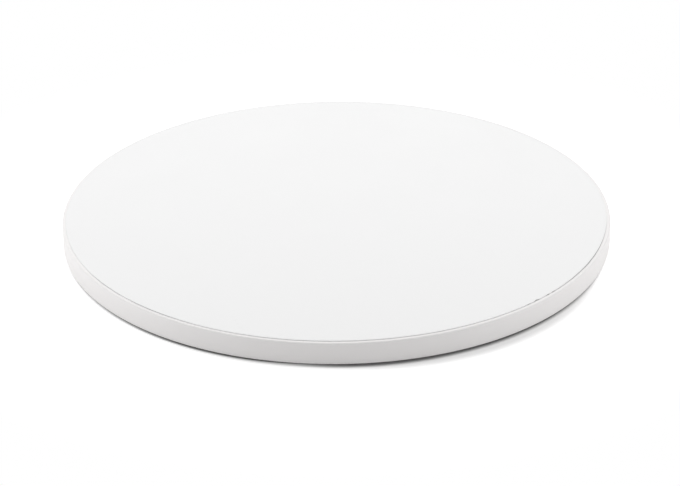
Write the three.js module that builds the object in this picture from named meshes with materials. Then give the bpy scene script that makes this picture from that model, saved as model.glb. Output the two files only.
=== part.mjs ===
// Round cake board: a thick pressed-board disc with a wrapped edge and a white sheet on each face.
// Millimetres, +Z up. The origin is the centre of the underside, on the table.

import * as THREE from 'three';

// Driving dimensions

const boardDiameter = 300; // across the wrapped rim
const coreThickness = 12; // pressed board, face to face
const coreEdgeRound = 0.65; // radius of the pressed board's two edges
const stripThickness = 0.35; // coated paper that wraps the edge
const topSheetThickness = 0.35; // smooth white card that the cake stands on
const baseSheetThickness = 0.35; // plain paper that hides the turned-under hem
const sheetEdgeBreak = 0.1; // softened upper edge of a cut sheet
const topLip = 1.65; // strip left bare around the top sheet
const baseLip = 4; // strip left bare around the base sheet
const topHemLap = 7; // hem glued under the top sheet
const baseHemLap = 8; // hem glued over by the base sheet
const hemClearance = 0.3; // from the hem's cut end to the step pressed into the board

// How finely the round shapes are cut

const rimFacets = 96;
const cornerFacets = 3;

// Radii and heights that follow from them

const rimRadius = boardDiameter / 2;
const coreRadius = rimRadius - stripThickness;
const stripRound = coreEdgeRound + stripThickness;
const topSheetRadius = rimRadius - topLip;
const baseSheetRadius = rimRadius - baseLip;
const topHemRadius = topSheetRadius - topHemLap;
const baseHemRadius = baseSheetRadius - baseHemLap;
const baseFace = baseSheetThickness;
const topFace = baseFace + coreThickness;
const baseRebate = baseFace + stripThickness;
const topRebate = topFace - stripThickness;

// Materials, each with the colour and finish of its surface

function paperMaterial(color, roughness) {
  return new THREE.MeshStandardMaterial({ color, roughness, metalness: 0 });
}

const coatedWhite = 0xf3f2f0;
const facingWhite = 0xf6f6f5;
const plainWhite = 0xeeece6;
const boardGrey = 0xa99c89;

// Profile helpers: a profile is a list of points, radius then height

function at(radius, height) {
  return new THREE.Vector2(radius, height);
}

// Quarter round about a centre, from one angle to the next, both ends included
function quarterRound(centre, radius, startAngle) {
  const points = [];
  for (let step = 0; step <= cornerFacets; step += 1) {
    const angle = startAngle + (Math.PI / 2) * (step / cornerFacets);
    const across = centre.x + radius * Math.cos(angle);
    const up = centre.y + radius * Math.sin(angle);
    points.push(at(across, up));
  }
  return points;
}

// The rounded outer edge of a disc, from its lower face up to its upper face
function roundedEdge(outerRadius, lower, upper, round) {
  const lowerCentre = at(outerRadius - round, lower + round);
  const upperCentre = at(outerRadius - round, upper - round);
  return [
    ...quarterRound(lowerCentre, round, -Math.PI / 2),
    ...quarterRound(upperCentre, round, 0),
  ];
}

// Turns a profile about the upright axis
function turned(profile) {
  const geometry = new THREE.LatheGeometry(profile, rimFacets);
  geometry.rotateX(Math.PI / 2);
  return geometry;
}

function namedMesh(name, geometry, material) {
  const mesh = new THREE.Mesh(geometry, material);
  mesh.name = name;
  return mesh;
}

// Pressed board, with a shallow step all round each face that the strip's hems fill flush

function coreBoard() {
  const baseStep = baseHemRadius - hemClearance;
  const topStep = topHemRadius - hemClearance;
  const profile = [
    at(0, baseFace),
    at(baseStep, baseFace),
    at(baseStep, baseRebate),
    ...roundedEdge(coreRadius, baseRebate, topRebate, coreEdgeRound),
    at(topStep, topRebate),
    at(topStep, topFace),
    at(0, topFace),
  ];
  return namedMesh('core_board', turned(profile), paperMaterial(boardGrey, 0.9));
}

// One strip of coated paper: up the wall, round both edges and in over both faces

function edgeStrip() {
  const outside = roundedEdge(rimRadius, baseFace, topFace, stripRound);
  const inside = roundedEdge(coreRadius, baseRebate, topRebate, coreEdgeRound);
  const profile = [
    at(baseHemRadius, baseFace),
    ...outside,
    at(topHemRadius, topFace),
    at(topHemRadius, topRebate),
    ...inside.reverse(),
    at(baseHemRadius, baseRebate),
    at(baseHemRadius, baseFace),
  ];
  return namedMesh('edge_strip', turned(profile), paperMaterial(coatedWhite, 0.45));
}

// Smooth white card, cut just short of the rim so that the strip shows as a thin lip

function topSheet() {
  const upper = topFace + topSheetThickness;
  const profile = [
    at(0, topFace),
    at(topSheetRadius, topFace),
    at(topSheetRadius, upper - sheetEdgeBreak),
    at(topSheetRadius - sheetEdgeBreak, upper),
    at(0, upper),
  ];
  return namedMesh('top_sheet', turned(profile), paperMaterial(facingWhite, 0.5));
}

// Plain paper on the underside, which the board stands on

function baseSheet() {
  const profile = [
    at(0, 0),
    at(baseSheetRadius - sheetEdgeBreak, 0),
    at(baseSheetRadius, sheetEdgeBreak),
    at(baseSheetRadius, baseSheetThickness),
    at(0, baseSheetThickness),
  ];
  return namedMesh('base_sheet', turned(profile), paperMaterial(plainWhite, 0.8));
}

const cakeBoard = new THREE.Group();
cakeBoard.add(coreBoard());
cakeBoard.add(edgeStrip());
cakeBoard.add(topSheet());
cakeBoard.add(baseSheet());

export default cakeBoard;
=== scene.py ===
"""Dresses a thick round white cake board and sets it in a pale studio.

The board is a pressed-board disc. A strip of coated paper wraps its edge, a smooth white card faces
the top and plain paper closes the underside. Everything is in metres, in the frame of the solids.
"""

import logging
import math
from dataclasses import dataclass
from enum import Enum

import bpy
import numpy as np
from mathutils import Matrix, Vector


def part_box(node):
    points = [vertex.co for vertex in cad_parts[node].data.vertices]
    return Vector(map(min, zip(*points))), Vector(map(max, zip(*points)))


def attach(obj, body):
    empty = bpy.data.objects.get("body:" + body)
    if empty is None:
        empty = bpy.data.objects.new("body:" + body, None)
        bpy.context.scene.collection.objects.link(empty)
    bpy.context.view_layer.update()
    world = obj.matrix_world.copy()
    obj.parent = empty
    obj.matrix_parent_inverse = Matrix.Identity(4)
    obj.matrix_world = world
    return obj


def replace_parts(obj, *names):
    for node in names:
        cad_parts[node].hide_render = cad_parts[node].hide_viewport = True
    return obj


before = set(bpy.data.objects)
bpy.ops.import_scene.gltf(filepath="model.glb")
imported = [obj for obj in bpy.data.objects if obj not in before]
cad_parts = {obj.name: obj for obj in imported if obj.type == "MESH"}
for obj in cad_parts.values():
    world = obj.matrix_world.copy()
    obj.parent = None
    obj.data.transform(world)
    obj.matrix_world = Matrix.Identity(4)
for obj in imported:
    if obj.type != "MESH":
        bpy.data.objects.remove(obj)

LOG = logging.getLogger("cake_board")
MM = 0.001
FULL_TURN = 2.0 * math.pi
QUARTER_TURN = 0.5 * math.pi
BODY = "root"
SEED = 12

# Steps round the rim, which all pieces share
RIM_STEPS = 720

# Edges that turn more than this stay sharp
SHARP_EDGE = math.radians(40.0)

# Radians that a Wave Texture of scale 1 runs through over one unit of length
WAVE_RATE = 20.0


class Slot(Enum):
    """The record's material slots."""

    FACING = "facing_card"
    WRAP = "coated_wrap"
    BASE = "base_paper"


class Solid(Enum):
    """The solids that the pieces stand for."""

    TOP = "top_sheet"
    STRIP = "edge_strip"
    BASE = "base_sheet"
    CORE = "core_board"


# Angles about the board's axis


def from_front(degrees: float) -> float:
    """Turns degrees round from the front, toward the right, into an angle about the board's axis.

    Args:
        degrees: Degrees round from the front.

    Returns:
        The angle from the X axis, in radians.
    """
    return math.radians(degrees) - QUARTER_TURN


def turn_past(angles: np.ndarray, start: float) -> np.ndarray:
    """Gives how far each angle lies past a starting angle.

    Args:
        angles: Angles about the board's axis.
        start: The starting angle.

    Returns:
        Angles from half a turn back to half a turn on.
    """
    return (angles - start + math.pi) % FULL_TURN - math.pi


def seeded_waves(angles: np.ndarray, counts: tuple[int, ...], seed: int) -> np.ndarray:
    """Gives a smooth uneven line round a circle.

    Args:
        angles: Angles about the board's axis.
        counts: How many waves each layer has round the circle.
        seed: The seed of the layers' phases.

    Returns:
        Values between about -1 and 1.
    """
    phases = np.random.default_rng(seed).uniform(0.0, FULL_TURN, len(counts))
    layers = [np.sin(count * angles + phase) for count, phase in zip(counts, phases)]
    return np.sum(layers, axis=0) / math.sqrt(len(counts))


# Node trees


class Wiring:
    """Adds nodes to one tree and wires their sockets."""

    def __init__(self, tree: bpy.types.NodeTree) -> None:
        """Takes over a tree and clears it.

        Args:
            tree: A shader or geometry node tree.
        """
        self.tree = tree
        self.tree.nodes.clear()

    def add(self, kind: str, **settings: object) -> bpy.types.Node:
        """Adds one node.

        Args:
            kind: The node's type name.
            **settings: Properties of the node to set.

        Returns:
            The new node.
        """
        node = self.tree.nodes.new(kind)
        for name, value in settings.items():
            setattr(node, name, value)
        return node

    def join(self, source: bpy.types.NodeSocket, target: bpy.types.NodeSocket) -> None:
        """Links two sockets.

        Args:
            source: The output socket.
            target: The input socket.
        """
        self.tree.links.new(source, target)

    def math(self, operation: str, first: object, second: object) -> bpy.types.NodeSocket:
        """Adds a Math node on two values, each a socket or a number.

        Args:
            operation: The Math node's operation.
            first: The first value.
            second: The second value.

        Returns:
            The result's socket.
        """
        node = self.add("ShaderNodeMath", operation=operation)
        for socket, value in zip(node.inputs, (first, second)):
            if isinstance(value, bpy.types.NodeSocket):
                self.join(value, socket)
            else:
                socket.default_value = value
        return node.outputs[0]

    def spread(
        self,
        value: bpy.types.NodeSocket,
        low: float,
        high: float,
        to_low: float,
        to_high: float,
        smooth: bool = False,
    ) -> bpy.types.NodeSocket:
        """Maps a value from one range to another, held at both ends.

        Args:
            value: The value to map.
            low: The value that gives to_low.
            high: The value that gives to_high.
            to_low: The result at low.
            to_high: The result at high.
            smooth: Whether the change eases in and out.

        Returns:
            The result's socket.
        """
        kind = "SMOOTHSTEP" if smooth else "LINEAR"
        node = self.add("ShaderNodeMapRange", interpolation_type=kind)
        self.join(value, node.inputs["Value"])
        node.inputs["From Min"].default_value = low
        node.inputs["From Max"].default_value = high
        node.inputs["To Min"].default_value = to_low
        node.inputs["To Max"].default_value = to_high
        return node.outputs["Result"]

    def noise(self, place: bpy.types.NodeSocket, grain: float, detail: float) -> bpy.types.NodeSocket:
        """Adds a noise pattern.

        Args:
            place: The coordinates that it reads, in metres.
            grain: The size of its patches, in metres.
            detail: How many finer layers it has.

        Returns:
            The pattern's socket, from 0 to 1.
        """
        node = self.add("ShaderNodeTexNoise")
        self.join(place, node.inputs["Vector"])
        node.inputs["Scale"].default_value = 1.0 / grain
        node.inputs["Detail"].default_value = detail
        return node.outputs["Fac"]

    def distance(
        self, place: bpy.types.NodeSocket, centre: tuple[float, float, float]
    ) -> bpy.types.NodeSocket:
        """Measures how far a place lies from a fixed point.

        Args:
            place: The coordinates to measure.
            centre: The fixed point.

        Returns:
            The distance's socket.
        """
        node = self.add("ShaderNodeVectorMath", operation="DISTANCE")
        self.join(place, node.inputs[0])
        node.inputs[1].default_value = centre
        return node.outputs["Value"]

    def dimmed(
        self, colour: tuple[float, float, float], level: bpy.types.NodeSocket
    ) -> bpy.types.NodeSocket:
        """Multiplies a colour by a level.

        Args:
            colour: The full colour.
            level: The level's socket.

        Returns:
            The colour's socket.
        """
        node = self.add("ShaderNodeVectorMath", operation="SCALE")
        node.inputs[0].default_value = colour
        self.join(level, node.inputs["Scale"])
        return node.outputs["Vector"]

    def bump(
        self, pattern: bpy.types.NodeSocket, height: float, strength: float, shader: bpy.types.Node
    ) -> None:
        """Raises a shader's surface by a pattern.

        Args:
            pattern: The pattern's socket.
            height: How high the pattern stands.
            strength: The share of the bump that shows.
            shader: The shader that takes the bump.
        """
        node = self.add("ShaderNodeBump")
        node.inputs["Strength"].default_value = strength
        node.inputs["Distance"].default_value = height
        self.join(pattern, node.inputs["Height"])
        self.join(node.outputs["Normal"], shader.inputs["Normal"])


def start_material(name: str, kind: str) -> tuple[bpy.types.Material, Wiring, bpy.types.Node]:
    """Starts a material that has one shader on its surface.

    Args:
        name: The material's name.
        kind: The shader node's type name.

    Returns:
        The material, its wiring and the shader.
    """
    material = bpy.data.materials.new(name)
    material.use_nodes = True
    wiring = Wiring(material.node_tree)
    shader = wiring.add(kind)
    output = wiring.add("ShaderNodeOutputMaterial")
    wiring.join(shader.outputs[0], output.inputs["Surface"])
    return material, wiring, shader


def shown_ray(wiring: Wiring) -> bpy.types.NodeSocket:
    """Tells rays that show the background from rays that light the board.

    Args:
        wiring: A material's or world's wiring.

    Returns:
        A socket that is 1 for camera, glossy and transmission rays and 0 for others.
    """
    path = wiring.add("ShaderNodeLightPath")
    straight = wiring.math("MAXIMUM", path.outputs["Is Camera Ray"], path.outputs["Is Glossy Ray"])
    return wiring.math("MAXIMUM", straight, path.outputs["Is Transmission Ray"])


# Finishes


@dataclass(frozen=True)
class Mark:
    """A small darker spot on a surface, used for specks and for painted shade: its place from the board's
    centre, its size and its depth of tone.
    """

    across: float
    along: float
    radius: float
    depth: float

    def level(self, wiring: Wiring, place: bpy.types.NodeSocket) -> bpy.types.NodeSocket:
        """Gives the share of light that the mark leaves.

        Args:
            wiring: The material's wiring.
            place: Object coordinates.

        Returns:
            A socket that is 1 away from the mark and less on it.
        """
        flat = wiring.add("ShaderNodeVectorMath", operation="MULTIPLY")
        wiring.join(place, flat.inputs[0])
        flat.inputs[1].default_value = (1.0, 1.0, 0.0)
        apart = wiring.distance(flat.outputs["Vector"], (self.across, self.along, 0.0))
        return wiring.spread(apart, 0.0, self.radius, 1.0 - self.depth, 1.0, smooth=True)


@dataclass(frozen=True)
class PaintedEdgeShade:
    """A stretch of a cut edge darkened with painted shade, as of a narrow gap along it: its middle, its half
    width and its depth of tone.

    The middle is in degrees round from the front, and the half width in degrees.
    """

    middle: float
    half_width: float
    depth: float

    def level(self, angles: np.ndarray) -> np.ndarray:
        """Gives the painted shade at each angle.

        Args:
            angles: Angles about the board's axis.

        Returns:
            Depths of tone, full in the middle and easing to 0 at the half width.
        """
        apart = np.abs(turn_past(angles, from_front(self.middle)))
        near = np.clip(1.0 - apart / math.radians(self.half_width), 0.0, 1.0)
        return self.depth * near * near * (3.0 - 2.0 * near)


@dataclass(frozen=True)
class PaperFinish:
    """Paper or card: tone, gloss, cloudy mottling, fine fibre and small darker spots, for specks and for
    painted shade.

    A mesh may hold the point attribute that the class names, which says how far the paper is darkened at each
    point, by its own grey and by painted shade.
    """

    GREY_AND_SHADE = "grey_and_painted_shade"

    name: str
    colour: tuple[float, float, float]
    roughness: float
    gloss: float = 0.5
    roughness_play: float = 0.05

    # Clouds: their size, their finer layers and how much they darken
    cloud_size: float = 38 * MM
    cloud_detail: float = 3.0
    cloud_depth: float = 0.012

    # Fibres: their size, their finer layers, how much they darken and their bump
    fibre_size: float = 0.35 * MM
    fibre_detail: float = 4.0
    fibre_depth: float = 0.01
    fibre_height: float = 0.012 * MM
    fibre_strength: float = 0.6

    # The stretch that nearly all of a noise pattern lies in
    pattern_low: float = 0.3
    pattern_high: float = 0.7

    # Darker spots: specks, and painted shade of a crease
    spots_and_painted_shade: tuple[Mark, ...] = ()

    def material(self) -> bpy.types.Material:
        """Builds the paper's material.

        Returns:
            A material whose tone, roughness and bump read Object coordinates.
        """
        material, wiring, paper = start_material(self.name, "ShaderNodeBsdfPrincipled")
        place = wiring.add("ShaderNodeTexCoord").outputs["Object"]
        clouds = wiring.noise(place, self.cloud_size, self.cloud_detail)
        fibres = wiring.noise(place, self.fibre_size, self.fibre_detail)
        level = self._level(wiring, place, clouds, fibres)
        wiring.join(wiring.dimmed(self.colour, level), paper.inputs["Base Color"])
        rough = wiring.spread(
            wiring.math("ADD", clouds, fibres),
            2.0 * self.pattern_low,
            2.0 * self.pattern_high,
            self.roughness - self.roughness_play,
            self.roughness + self.roughness_play,
        )
        wiring.join(rough, paper.inputs["Roughness"])
        paper.inputs["Specular IOR Level"].default_value = self.gloss
        wiring.bump(fibres, self.fibre_height, self.fibre_strength, paper)
        return material

    def _level(
        self,
        wiring: Wiring,
        place: bpy.types.NodeSocket,
        clouds: bpy.types.NodeSocket,
        fibres: bpy.types.NodeSocket,
    ) -> bpy.types.NodeSocket:
        """Works out how much of its full colour the paper shows.

        Args:
            wiring: The material's wiring.
            place: Object coordinates.
            clouds: The wide pattern.
            fibres: The fine pattern.

        Returns:
            The level's socket.
        """
        low, high = self.pattern_low, self.pattern_high
        cloudy = wiring.spread(clouds, low, high, 1.0 - self.cloud_depth, 1.0)
        fibrous = wiring.spread(fibres, low, high, 1.0 - self.fibre_depth, 1.0)
        level = wiring.math("MULTIPLY", cloudy, fibrous)
        for mark in self.spots_and_painted_shade:
            level = wiring.math("MULTIPLY", level, mark.level(wiring, place))
        # The attribute darkens the paper by its own grey and by painted shade
        edge_darkening = wiring.add("ShaderNodeAttribute", attribute_type="GEOMETRY", attribute_name=self.GREY_AND_SHADE)
        return wiring.math("MULTIPLY", level, wiring.math("SUBTRACT", 1.0, edge_darkening.outputs["Fac"]))


@dataclass(frozen=True)
class PressedBoardFinish:
    """Grey-brown pressed board, laid up in thin plies that show on its edge."""

    name: str = "pressed_grey_board"
    colour: tuple[float, float, float] = (0.42, 0.36, 0.28)

    # Plies: their thickness, how much they waver and how much darker their dark sides are
    ply: float = 1.5 * MM
    ply_waver: float = 1.5
    ply_depth: float = 0.12

    # Chips: their size, their finer layers and their bump
    chip_size: float = 0.9 * MM
    chip_detail: float = 5.0
    chip_height: float = 0.08 * MM
    chip_strength: float = 1.0

    # Stretches of the chip pattern, and the levels and the roughness that they run through
    tone_span: tuple[float, float] = (0.25, 0.75)
    tones: tuple[float, float] = (0.8, 1.1)
    roughness_span: tuple[float, float] = (0.2, 0.8)
    roughness: tuple[float, float] = (0.85, 0.98)

    def material(self) -> bpy.types.Material:
        """Builds the board's material.

        Returns:
            A material with plies across the thickness and short fibres all over.
        """
        material, wiring, board = start_material(self.name, "ShaderNodeBsdfPrincipled")
        place = wiring.add("ShaderNodeTexCoord").outputs["Object"]
        chips = wiring.noise(place, self.chip_size, self.chip_detail)
        plies = wiring.add("ShaderNodeTexWave", wave_type="BANDS", bands_direction="Z")
        wiring.join(place, plies.inputs["Vector"])
        plies.inputs["Scale"].default_value = FULL_TURN / (WAVE_RATE * self.ply)
        plies.inputs["Distortion"].default_value = self.ply_waver
        level = wiring.math(
            "MULTIPLY",
            wiring.spread(chips, *self.tone_span, *self.tones),
            wiring.spread(plies.outputs["Fac"], 0.0, 1.0, 1.0 - self.ply_depth, 1.0),
        )
        wiring.join(wiring.dimmed(self.colour, level), board.inputs["Base Color"])
        rough = wiring.spread(chips, *self.roughness_span, *self.roughness)
        wiring.join(rough, board.inputs["Roughness"])
        wiring.bump(chips, self.chip_height, self.chip_strength, board)
        return material


@dataclass(frozen=True)
class RoundPatch:
    """A round patch of the floor: its centre, its radius and the width of its soft border."""

    across: float
    along: float
    radius: float
    border: float

    def clear(self, wiring: Wiring, place: bpy.types.NodeSocket) -> bpy.types.NodeSocket:
        """Tells the floor outside the patch from the floor inside it.

        Args:
            wiring: The floor's wiring.
            place: Object coordinates.

        Returns:
            A socket that is 0 on the patch and 1 past its border.
        """
        apart = wiring.distance(place, (self.across, self.along, 0.0))
        return wiring.spread(apart, self.radius, self.radius + self.border, 0.0, 1.0, smooth=True)


@dataclass(frozen=True)
class FloorFinish:
    """A pale studio floor that shows white to the camera where the board does not shade it.

    Near the board it is matte and takes the shadow, and along the foot its tone to the camera is darkened
    as painted shade. To the camera it also glows a little there, apart from the patches that keep their
    full shade. Far from the board it only glows, evenly white.
    """

    name: str = "pale_studio_floor"

    # Its tone where it throws light on the board, and its tone to the camera
    bounce: float = 0.86
    seen: float = 0.97

    # Strength of the glow near the board
    fill: float = 0.32

    # Distances from the board's axis where the even glow begins and where it is full
    near: float = 0.175
    far: float = 0.26

    # Patches without the near glow: along the foot, and over the shade at the front right
    foot: RoundPatch = RoundPatch(-5.1 * MM, -6.2 * MM, 142.4 * MM, 1.5 * MM)
    shade: RoundPatch = RoundPatch(16.5 * MM, -28.2 * MM, 121.8 * MM, 7.0 * MM)

    # Patch of painted shade whose edge makes the dark line at the foot, and the share of light left on it
    painted_foot_shade: RoundPatch = RoundPatch(0.5 * MM, -6.0 * MM, 144.6 * MM, 3.7 * MM)
    painted_foot_shade_level: float = 0.16

    # Patch that the board covers
    under: RoundPatch = RoundPatch(0.0, 0.0, 147.0 * MM, 3.0 * MM)

    def material(self) -> bpy.types.Material:
        """Builds the floor's material.

        Returns:
            A matte white that keeps the shadow near the board, with painted shade along the foot, and glows
            evenly far from it.
        """
        material, wiring, both = start_material(self.name, "ShaderNodeAddShader")
        matte = wiring.add("ShaderNodeBsdfDiffuse")
        glow = wiring.add("ShaderNodeEmission")
        wiring.join(matte.outputs["BSDF"], both.inputs[0])
        wiring.join(glow.outputs["Emission"], both.inputs[1])
        place = wiring.add("ShaderNodeTexCoord").outputs["Object"]
        reach = wiring.distance(place, (0.0, 0.0, 0.0))
        share = wiring.spread(reach, self.near, self.far, 0.0, 1.0, smooth=True)
        closeness = wiring.math("SUBTRACT", 1.0, share)
        under = self.under.clear(wiring, place)
        shown = shown_ray(wiring)
        hidden = wiring.math("SUBTRACT", 1.0, shown)
        level = wiring.math(
            "ADD",
            wiring.math("MULTIPLY", self._seen_level(wiring, place, closeness, under), shown),
            wiring.math("MULTIPLY", hidden, self.bounce),
        )
        wiring.join(level, matte.inputs["Color"])
        even = wiring.math("MULTIPLY", share, shown)
        strength = wiring.math("ADD", self._near_glow(wiring, place, closeness, under), even)
        wiring.join(strength, glow.inputs["Strength"])
        return material

    def _seen_level(
        self,
        wiring: Wiring,
        place: bpy.types.NodeSocket,
        closeness: bpy.types.NodeSocket,
        under: bpy.types.NodeSocket,
    ) -> bpy.types.NodeSocket:
        """Works out the matte floor's tone to the camera, with the painted shade that makes the dark line at
        the foot.

        Args:
            wiring: The floor's wiring.
            place: Object coordinates.
            closeness: 1 near the board and 0 far from it.
            under: 0 under the board and 1 outside it.

        Returns:
            The tone's socket.
        """
        # Painted shade: the floor's tone to the camera is darkened along the foot
        outside_painted_shade = wiring.math("MINIMUM", self.painted_foot_shade.clear(wiring, place), under)
        left = wiring.spread(outside_painted_shade, 0.0, 1.0, self.painted_foot_shade_level, 1.0)
        return wiring.math("MULTIPLY", wiring.math("MULTIPLY", closeness, self.seen), left)

    def _near_glow(
        self,
        wiring: Wiring,
        place: bpy.types.NodeSocket,
        closeness: bpy.types.NodeSocket,
        under: bpy.types.NodeSocket,
    ) -> bpy.types.NodeSocket:
        """Works out the glow near the board, which only the camera sees.

        Args:
            wiring: The floor's wiring.
            place: Object coordinates.
            closeness: 1 near the board and 0 far from it.
            under: 0 under the board and 1 outside it.

        Returns:
            The glow's socket.
        """
        clear = wiring.math("MINIMUM", self.foot.clear(wiring, place), self.shade.clear(wiring, place))
        clear = wiring.math("MINIMUM", clear, under)
        camera = wiring.add("ShaderNodeLightPath").outputs["Is Camera Ray"]
        lift = wiring.math("MULTIPLY", wiring.math("MULTIPLY", clear, self.fill), camera)
        return wiring.math("MULTIPLY", lift, closeness)


# Objects and meshes


def put_in_scene(name: str, content: bpy.types.ID) -> bpy.types.Object:
    """Makes an object and puts it in the scene.

    Args:
        name: The object's name.
        content: The mesh, lamp or camera that it holds.

    Returns:
        The object.
    """
    thing = bpy.data.objects.new(name, content)
    bpy.context.scene.collection.objects.link(thing)
    return thing


def ring_mesh(name: str, rings: list[np.ndarray]) -> bpy.types.Mesh:
    """Skins a closed round body from rings of points, with a fan on the first and the last.

    Args:
        name: The mesh's name.
        rings: Rings of equal length, from the centre of the underside round to the centre of the top.

    Returns:
        The mesh, with its faces outward.
    """
    count = len(rings[0])
    centres = [np.array([[0.0, 0.0, ring[0][2]]]) for ring in (rings[0], rings[-1])]
    points = np.vstack([centres[0], *rings, centres[1]])
    faces: list[tuple[int, ...]] = []
    for step in range(count):
        following = (step + 1) % count
        faces.append((0, 1 + following, 1 + step))
        for ring in range(len(rings) - 1):
            lower = 1 + ring * count
            upper = lower + count
            faces.append((lower + step, lower + following, upper + following, upper + step))
        last = 1 + (len(rings) - 1) * count
        faces.append((last + step, last + following, len(points) - 1))
    mesh = bpy.data.meshes.new(name)
    mesh.from_pydata(points.tolist(), [], faces)
    mesh.validate()
    return mesh


def note_darkening(mesh: bpy.types.Mesh, values: np.ndarray) -> None:
    """Notes on a mesh how far its paper is darkened, by its own grey and by painted shade.

    Args:
        mesh: The mesh.
        values: One depth of tone for each point.
    """
    edge_darkening = mesh.attributes.new(PaperFinish.GREY_AND_SHADE, "FLOAT", "POINT")
    edge_darkening.data.foreach_set("value", values)


def finish_piece(
    name: str, mesh: bpy.types.Mesh, material: bpy.types.Material
) -> bpy.types.Object:
    """Makes a piece of a mesh, shades it and lets it ride on the board.

    Args:
        name: The piece's name.
        mesh: Its mesh, in the frame's own place.
        material: Its finish.

    Returns:
        The piece's object.
    """
    mesh.materials.clear()
    mesh.materials.append(material)
    mesh.polygons.foreach_set("use_smooth", [True] * len(mesh.polygons))
    mesh.set_sharp_from_angle(angle=SHARP_EDGE)
    mesh.update()
    piece = put_in_scene(name, mesh)
    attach(piece, BODY)
    LOG.info("%s: %d faces", name, len(mesh.polygons))
    return piece


def stage_panel(
    name: str, corners: list[tuple[float, float, float]], material: bpy.types.Material
) -> bpy.types.Object:
    """Sets up a flat four-cornered panel that belongs to the studio.

    Args:
        name: The panel's name.
        corners: Its corners in order.
        material: Its finish.

    Returns:
        The panel's object.
    """
    mesh = bpy.data.meshes.new(name)
    mesh.from_pydata(corners, [], [(0, 1, 2, 3)])
    mesh.materials.append(material)
    panel = put_in_scene(name, mesh)
    return panel


# The board's pieces


@dataclass(frozen=True)
class FacingSheet:
    """A cut round sheet glued to one face of the board."""

    name: str
    solid: Solid
    finish: PaperFinish
    slot: Slot
    faces_up: bool

    # Shares of the radius at which each flat face has a ring of points
    face_rings: tuple[float, ...] = (0.35, 0.7, 0.93, 0.985)

    # The eased outer corner of the cut edge
    edge_round: float = 0.18 * MM
    corner_steps: int = 3

    # The cutter's slight wander
    edge_wander: float = 0.07 * MM
    wander_waves: tuple[int, ...] = (5, 11, 23, 47, 90)

    # A small nick in the cut edge
    nick_angle: float | None = None
    nick_length: float = 2.2 * MM
    nick_depth: float = 0.45 * MM

    # How far the sheet is glued off the board's centre, and the side that it lies away from
    off_centre: float = 0.0
    off_centre_angle: float = 0.0

    # The cut edge's darkening: a slight grey all round, partly its own and partly painted shade, and painted
    # shade in some stretches
    edge_grey_and_shade: float = 0.02
    painted_edge_shades: tuple[PaintedEdgeShade, ...] = ()

    def build(self) -> bpy.types.Object:
        """Builds the sheet in place of its solid.

        Returns:
            The sheet's object.
        """
        low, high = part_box(self.solid.value)
        cut = self._outline(high.x)
        under = [(cut * share, low.z) for share in self.face_rings]
        edge = self._edge(cut, low.z, high.z)
        over = [(cut * share, high.z) for share in reversed(self.face_rings)]
        mesh = ring_mesh(self.name, [self._ring(radius, height) for radius, height in under + edge + over])
        self._note_cut_edge_tone(mesh, len(under), len(edge))
        piece = finish_piece(self.name, mesh, self.finish.material())
        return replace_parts(piece, self.solid.value)

    def _angles(self) -> np.ndarray:
        """Gives the angles of the steps round the rim."""
        return np.linspace(0.0, FULL_TURN, RIM_STEPS, endpoint=False)

    def _outline(self, radius: float) -> np.ndarray:
        """Gives the cut edge's radius at each step round the rim.

        Args:
            radius: The sheet's true radius.

        Returns:
            One radius for each step, none of them past the true radius.
        """
        angles = self._angles()
        wander = self.edge_wander * (1.0 + seeded_waves(angles, self.wander_waves, SEED)) / 2
        cut = radius - wander - self.off_centre * (1.0 + np.cos(angles - self.off_centre_angle))
        if self.nick_angle is not None:
            apart = turn_past(angles, self.nick_angle) * radius
            cut = cut - self.nick_depth * np.clip(1.0 - (2.0 * apart / self.nick_length) ** 2, 0.0, 1.0)
        return cut

    def _edge(self, cut: np.ndarray, low: float, high: float) -> list[tuple[np.ndarray, float]]:
        """Gives the loops of the cut edge, with its outer corner eased.

        Args:
            cut: The cut edge's radius at each step round the rim.
            low: The height of the sheet's lower face.
            high: The height of its upper face.

        Returns:
            Loops from the lower face to the upper one, each as its radii and its height.
        """
        turns = [QUARTER_TURN * step / self.corner_steps for step in range(1, self.corner_steps + 1)]
        insets = [self.edge_round * (1.0 - math.cos(turn)) for turn in turns]
        rises = [self.edge_round * math.sin(turn) for turn in turns]
        if self.faces_up:
            start = high - self.edge_round
            bend = [(cut - inset, start + rise) for inset, rise in zip(insets, rises)]
            return [(cut, low), (cut, start), *bend]
        start = low + self.edge_round
        bend = [(cut - inset, start - rise) for inset, rise in zip(insets, rises)]
        return [*reversed(bend), (cut, start), (cut, high)]

    def _ring(self, radius: np.ndarray, height: float) -> np.ndarray:
        """Places one ring of points.

        Args:
            radius: A radius for each step round the rim.
            height: The ring's height.

        Returns:
            The ring's points.
        """
        angles = self._angles()
        heights = np.full(RIM_STEPS, height)
        return np.stack([radius * np.cos(angles), radius * np.sin(angles), heights], axis=1)

    def _note_cut_edge_tone(self, mesh: bpy.types.Mesh, first: int, count: int) -> None:
        """Notes on the mesh how far the cut edge is darkened at each point, by its own grey and by painted
        shade.

        Args:
            mesh: The sheet's mesh.
            first: The edge's first ring.
            count: How many rings the edge has. The one next to the sheet's outer face stays clean.
        """
        angles = self._angles()
        depth = np.full(RIM_STEPS, self.edge_grey_and_shade)
        # Painted shade in the listed stretches, over the edge's slight grey
        for shade in self.painted_edge_shades:
            depth = np.maximum(depth, shade.level(angles))
        rings = np.zeros(count + 2 * len(self.face_rings))
        rings[first : first + count] = 1.0
        clean = first + count - 1 if self.faces_up else first
        rings[clean] = 0.0
        centre = [0.0]
        note_darkening(mesh, np.concatenate([centre, np.outer(rings, depth).ravel(), centre]))


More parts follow.
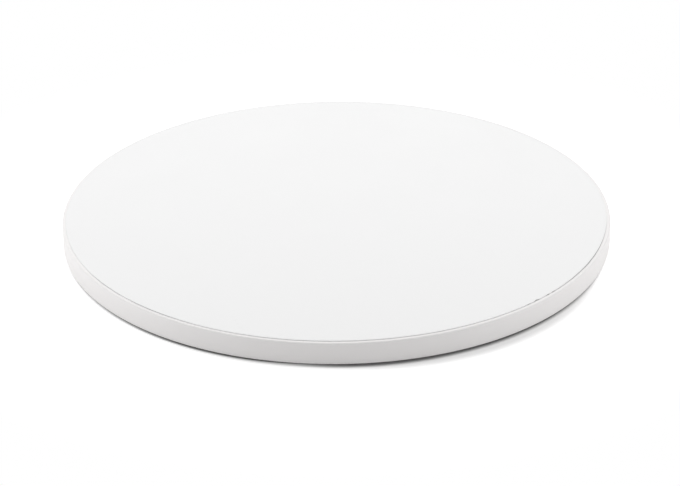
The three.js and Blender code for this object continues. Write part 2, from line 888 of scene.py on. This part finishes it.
@dataclass(frozen=True)
class EdgeWrap:
    """The strip of coated paper round the board's edge, swept along the rim as one section.

    Its lower fold stands a little proud of the hem, so the rim comes down close to the table.
    """

    SKIN = "outer_skin"

    finish: PaperFinish
    name: str = "edge_wrap"

    # The section: its outer bends, the paper and its reach in from the rim over each face
    outer_round: float = 1.0 * MM
    thickness: float = 0.35 * MM
    hem: float = 8.0 * MM
    corner_steps: int = 8

    # The lower fold's drop, and the distances from the rim between which the hem comes down to it
    fold_drop: float = 0.2 * MM
    drop_from: float = 3.8 * MM
    drop_to: float = 3.0 * MM

    # The bare lip on the upper face: its puckers and its greying
    crimp_depth: float = 0.05 * MM
    crimp_waves: tuple[int, ...] = (61, 143, 211)
    lip_grey: float = 0.1

    # The lap where the strip's ends meet. The outer end is drawn back by lap_sharpness of one step
    # round the rim, so that it stands up steeply from the inner one
    lap_angle: float = math.radians(104.0)
    lap_length: float = 14.0 * MM
    lap_step: float = 0.12 * MM
    lap_sharpness: float = 0.95

    def build(self) -> bpy.types.Object:
        """Builds the wrap in place of its solid.

        Returns:
            The wrap's object.
        """
        low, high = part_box(Solid.STRIP.value)
        material = self.finish.material()
        section = self._section_object(high.z - low.z, low.z)
        mesh = sweep_round(section, high.x, RIM_STEPS, material)
        self._weather(mesh, high)
        piece = finish_piece(self.name, mesh, material)
        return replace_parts(piece, Solid.STRIP.value)

    def _section_object(self, height: float, base: float) -> bpy.types.Object:
        """Draws the strip's section as a closed line: outside, then back along the inside.

        Args:
            height: The strip's height.
            base: The height of its lower hem.

        Returns:
            An object that holds the line, with insets from the rim along -X and heights along -Y.
        """
        outside = self._half_loop(0.0, height, base)
        inside = self._half_loop(self.thickness, height, base)
        points = [*outside, *reversed(inside)]
        edges = [(step, (step + 1) % len(points)) for step in range(len(points))]
        line = bpy.data.meshes.new(self.name + "_section")
        line.from_pydata([(-inset, -rise, 0.0) for inset, rise in points], edges, [])
        skin = line.attributes.new(self.SKIN, "FLOAT", "POINT")
        skin.data.foreach_set("value", [1.0] * len(outside) + [0.0] * len(inside))
        return put_in_scene(self.name + "_section", line)

    def _half_loop(self, inset: float, height: float, base: float) -> list[tuple[float, float]]:
        """Gives one side of the strip's section, from the lower hem's end to the upper hem's.

        Args:
            inset: How far this side lies inside the strip's outer surface.
            height: The strip's height.
            base: The height of its lower hem.

        Returns:
            Points as inset from the rim and height.
        """
        outer = self.outer_round
        bend = outer - inset
        low = base + inset
        high = base + height - inset
        fold = low - self.fold_drop
        turns = [QUARTER_TURN * step / self.corner_steps for step in range(self.corner_steps + 1)]
        hem = [(self.hem, low), (self.drop_from, low), (self.drop_to, fold)]
        foot = [(outer - bend * math.sin(turn), fold + bend * (1.0 - math.cos(turn))) for turn in turns]
        lip = [(outer - bend * math.cos(turn), high - bend * (1.0 - math.sin(turn))) for turn in turns]
        return [*hem, *foot, *lip, (self.hem, high)]

    def _weather(self, mesh: bpy.types.Mesh, high: Vector) -> None:
        """Greys and puckers the bare lip and sets the lap where the strip's ends meet.

        Args:
            mesh: The swept strip.
            high: The strip's highest corner.
        """
        points = np.empty(len(mesh.vertices) * 3)
        mesh.vertices.foreach_get("co", points)
        points = points.reshape(-1, 3)
        skin = np.empty(len(points))
        mesh.attributes[self.SKIN].data.foreach_get("value", skin)
        angles = np.arctan2(points[:, 1], points[:, 0])
        radii = np.hypot(points[:, 0], points[:, 1])
        above = points[:, 2] - (high.z - self.outer_round)
        lip = skin * np.clip(above / self.outer_round, 0.0, 1.0)
        note_darkening(mesh, self.lip_grey * lip)
        waves = seeded_waves(angles, self.crimp_waves, SEED + 1)
        points[:, 2] -= self.crimp_depth * lip * np.clip((1.0 + waves) / 2, 0.0, 1.0)
        past = turn_past(angles, self.lap_angle)
        under = np.clip(1.0 + past * high.x / self.lap_length, 0.0, 1.0) * (past < 0.0)
        radii -= self.lap_step * skin * under * (radii > high.x - self.outer_round)
        pitch = FULL_TURN / RIM_STEPS
        drawn_back = self.lap_angle - self.lap_sharpness * (pitch - past)
        angles = np.where((past >= 0.0) & (past < pitch), drawn_back, angles)
        points[:, 0] = radii * np.cos(angles)
        points[:, 1] = radii * np.sin(angles)
        mesh.vertices.foreach_set("co", points.ravel())
        mesh.update()


def sweep_round(
    section: bpy.types.Object, radius: float, segments: int, material: bpy.types.Material
) -> bpy.types.Mesh:
    """Sweeps a closed line round the board's axis with Geometry Nodes.

    Args:
        section: The object that holds the line. It is removed.
        radius: The radius of the circle that the line follows.
        segments: How many steps the circle has.
        material: The material of the result.

    Returns:
        The swept surface as a plain mesh.
    """
    tree = bpy.data.node_groups.new("sweep_round_the_rim", "GeometryNodeTree")
    wiring = Wiring(tree)
    tree.interface.new_socket("Section", in_out="INPUT", socket_type="NodeSocketGeometry")
    rim = tree.interface.new_socket("Rim Radius", in_out="INPUT", socket_type="NodeSocketFloat")
    steps = tree.interface.new_socket("Steps", in_out="INPUT", socket_type="NodeSocketInt")
    cover = tree.interface.new_socket("Finish", in_out="INPUT", socket_type="NodeSocketMaterial")
    tree.interface.new_socket("Strip", in_out="OUTPUT", socket_type="NodeSocketGeometry")
    given = wiring.add("NodeGroupInput").outputs
    line = wiring.add("GeometryNodeMeshToCurve")
    circle = wiring.add("GeometryNodeCurvePrimitiveCircle", mode="RADIUS")
    upright = wiring.add("GeometryNodeSetCurveNormal", mode="Z_UP")
    swept = wiring.add("GeometryNodeCurveToMesh")
    outward = wiring.add("GeometryNodeFlipFaces")
    plain = wiring.add("GeometryNodeRealizeInstances")
    dressed = wiring.add("GeometryNodeSetMaterial")
    result = wiring.add("NodeGroupOutput")
    wiring.join(given["Section"], line.inputs["Mesh"])
    wiring.join(given["Rim Radius"], circle.inputs["Radius"])
    wiring.join(given["Steps"], circle.inputs["Resolution"])
    wiring.join(circle.outputs["Curve"], upright.inputs["Curve"])
    wiring.join(upright.outputs["Curve"], swept.inputs["Curve"])
    wiring.join(line.outputs["Curve"], swept.inputs["Profile Curve"])
    wiring.join(swept.outputs["Mesh"], outward.inputs["Mesh"])
    wiring.join(outward.outputs["Mesh"], plain.inputs["Geometry"])
    wiring.join(plain.outputs["Geometry"], dressed.inputs["Geometry"])
    wiring.join(given["Finish"], dressed.inputs["Material"])
    wiring.join(dressed.outputs["Geometry"], result.inputs["Strip"])
    values = {rim.identifier: radius, steps.identifier: segments, cover.identifier: material}
    return bake_nodes(section, tree, values)


def bake_nodes(
    carrier: bpy.types.Object, tree: bpy.types.NodeTree, values: dict[str, object]
) -> bpy.types.Mesh:
    """Runs a Geometry Nodes tree on an object and keeps only the resulting mesh.

    Args:
        carrier: The object that the tree starts from. It is removed.
        tree: The tree.
        values: The tree's inputs by socket identifier.

    Returns:
        The result as a plain mesh.
    """
    modifier = carrier.modifiers.new(tree.name, "NODES")
    modifier.node_group = tree
    for identifier, value in values.items():
        modifier[identifier] = value
    evaluated = carrier.evaluated_get(bpy.context.evaluated_depsgraph_get())
    mesh = bpy.data.meshes.new_from_object(evaluated)
    carrier.modifiers.clear()
    spare = carrier.data
    bpy.data.objects.remove(carrier)
    bpy.data.meshes.remove(spare)
    return mesh


# Finishes of this board

FACING_CARD = PaperFinish(
    name="smooth_white_card",
    colour=(0.828, 0.828, 0.828),
    roughness=0.5,
    spots_and_painted_shade=(
        # Two specks on the top
        Mark(-93.2 * MM, 62.7 * MM, 1.2 * MM, 0.03),
        Mark(-105.9 * MM, 47.0 * MM, 1.2 * MM, 0.03),
        # A row of spots that is painted shade of a small crease near the front-left edge
        Mark(-53.3 * MM, -121.3 * MM, 1.6 * MM, 0.02),
        Mark(-51.8 * MM, -125.2 * MM, 1.6 * MM, 0.02),
        Mark(-50.4 * MM, -129.1 * MM, 1.6 * MM, 0.02),
        Mark(-48.9 * MM, -133.0 * MM, 1.6 * MM, 0.02),
    ),
)
WRAP_PAPER = PaperFinish(name="coated_white_wrap", colour=(0.93, 0.912, 0.907), roughness=0.45)
BASE_PAPER = PaperFinish(name="plain_base_paper", colour=(0.84, 0.82, 0.78), roughness=0.8, gloss=0.3)
# Stretches of the top sheet's cut edge darkened with painted shade, as of a narrow gap along it
PAINTED_EDGE_SHADES = (
    PaintedEdgeShade(66.0, 24.0, 0.75),
    PaintedEdgeShade(-40.0, 14.0, 0.35),
    PaintedEdgeShade(-54.0, 12.0, 0.3),
    PaintedEdgeShade(41.7, 0.9, 0.5),
    PaintedEdgeShade(44.0, 1.2, 0.9),
    PaintedEdgeShade(47.4, 0.7, 0.9),
    PaintedEdgeShade(49.2, 0.7, 0.9),
)


@dataclass
class CakeBoard:
    """The whole board: its four parts in the order in which they are made up."""

    core: PressedBoardFinish = PressedBoardFinish()
    wrap: EdgeWrap = EdgeWrap(WRAP_PAPER)
    top: FacingSheet = FacingSheet(
        name="facing_card",
        solid=Solid.TOP,
        finish=FACING_CARD,
        slot=Slot.FACING,
        faces_up=True,
        nick_angle=from_front(44.0),
        off_centre=0.25 * MM,
        off_centre_angle=from_front(25.0),
        painted_edge_shades=PAINTED_EDGE_SHADES,
    )
    base: FacingSheet = FacingSheet(
        name="base_paper",
        solid=Solid.BASE,
        finish=BASE_PAPER,
        slot=Slot.BASE,
        faces_up=False,
    )

    def build(self) -> None:
        """Dresses the core and builds the strip and the two sheets."""
        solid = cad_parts[Solid.CORE.value]
        solid.data.materials.clear()
        solid.data.materials.append(self.core.material())
        LOG.info("%s: carried over with a new finish", Solid.CORE.value)
        self.wrap.build()
        self.top.build()
        self.base.build()


# Studio


@dataclass(frozen=True)
class SoftPanel:
    """A large soft light panel, aimed at the board. Its radiance is 1 where it would look white."""

    name: str
    place: tuple[float, float, float]
    width: float
    height: float
    radiance: float

    def build(self) -> bpy.types.Object:
        """Hangs the panel, out of the camera's sight.

        Returns:
            The lamp's object.
        """
        lamp = bpy.data.lights.new(self.name, "AREA")
        lamp.shape = "RECTANGLE"
        lamp.size = self.width
        lamp.size_y = self.height
        lamp.energy = self.radiance * math.pi * self.width * self.height
        panel = put_in_scene(self.name, lamp)
        panel.location = self.place
        panel.rotation_euler = (-Vector(self.place)).to_track_quat("-Z", "Y").to_euler()
        panel.visible_camera = False
        return panel


@dataclass(frozen=True)
class ShadingCard:
    """A black card that stands by the board and shades the wall that faces it."""

    name: str
    along: float
    width: float = 0.56
    height: float = 0.12
    tone: float = 0.02

    def build(self) -> bpy.types.Object:
        """Stands the card up, out of the camera's sight.

        Returns:
            The card's object.
        """
        material, _, matte = start_material("matte_black_card", "ShaderNodeBsdfDiffuse")
        matte.inputs["Color"].default_value = (self.tone, self.tone, self.tone, 1.0)
        half = self.width / 2
        foot = [(-half, self.along, 0.0), (half, self.along, 0.0)]
        head = [(half, self.along, self.height), (-half, self.along, self.height)]
        card = stage_panel(self.name, foot + head, material)
        card.visible_camera = False
        return card


@dataclass
class Studio:
    """The floor, the shading cards, the light panels and the white surround."""

    surround: float = 0.691
    floor_size: float = 12.0
    cards: tuple[ShadingCard, ...] = (
        ShadingCard("front_shading_card", -0.42),
        ShadingCard("rear_shading_card", 0.42),
    )
    panels: tuple[SoftPanel, ...] = (
        SoftPanel("rear_panel", (0.0, 0.55, 0.55), 1.0, 0.4, 1.93),
        SoftPanel("left_panel", (-1.1, 0.0, 0.5), 1.2, 0.9, 1.115),
        SoftPanel("right_panel", (1.1, 0.0, 0.5), 1.2, 0.9, 0.879),
    )

    def build(self) -> None:
        """Lays the floor, stands the cards up, lights the surround and hangs the panels."""
        half = self.floor_size / 2
        corners = [(-half, -half, 0.0), (half, -half, 0.0), (half, half, 0.0), (-half, half, 0.0)]
        stage_panel("studio_floor", corners, FloorFinish().material())
        for card in self.cards:
            card.build()
        self._light_surround()
        for panel in self.panels:
            panel.build()
        bpy.context.scene.view_settings.view_transform = "Standard"

    def _light_surround(self) -> None:
        """Makes the surround white to look at and dim as a light."""
        world = bpy.data.worlds.new("studio_surround")
        world.use_nodes = True
        bpy.context.scene.world = world
        wiring = Wiring(world.node_tree)
        output = wiring.add("ShaderNodeOutputWorld")
        glow = wiring.add("ShaderNodeBackground")
        wiring.join(glow.outputs["Background"], output.inputs["Surface"])
        glow.inputs["Color"].default_value = (1.0, 1.0, 1.0, 1.0)
        strength = wiring.spread(shown_ray(wiring), 0.0, 1.0, self.surround, 1.0)
        wiring.join(strength, glow.inputs["Strength"])


@dataclass
class StudioCamera:
    """A long lens in front of the board, looking a little down on it."""

    # Place of the lens from the centre of the board's underside
    ahead: float = 1332.0 * MM
    above: float = 666.6 * MM

    # Aim, in degrees
    tilt_down: float = 26.8333
    turn: float = 0.08
    roll: float = -0.4311

    # Lens and sensor, in the millimetres that cameras are sold by
    lens: float = 143.01
    sensor: float = 36.0

    # Nearest and farthest things in view
    nearest: float = 0.05
    farthest: float = 50.0

    def build(self) -> bpy.types.Object:
        """Sets the camera up.

        Returns:
            The camera's object.
        """
        optics = bpy.data.cameras.new("studio_camera")
        optics.lens = self.lens
        optics.sensor_width = self.sensor
        optics.clip_start = self.nearest
        optics.clip_end = self.farthest
        camera = put_in_scene("studio_camera", optics)
        pitch = QUARTER_TURN - math.radians(self.tilt_down)
        aim = Matrix.Rotation(math.radians(-self.turn), 4, "Z")
        aim = aim @ Matrix.Rotation(pitch, 4, "X")
        aim = aim @ Matrix.Rotation(math.radians(self.roll), 4, "Z")
        camera.matrix_world = Matrix.Translation((0.0, -self.ahead, self.above)) @ aim
        bpy.context.scene.camera = camera
        return camera


def main() -> None:
    """Builds the camera, the board and the studio."""
    logging.basicConfig(level=logging.INFO, format="%(name)s: %(message)s")
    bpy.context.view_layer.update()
    StudioCamera().build()
    CakeBoard().build()
    Studio().build()


if __name__ == "__main__":
    main()
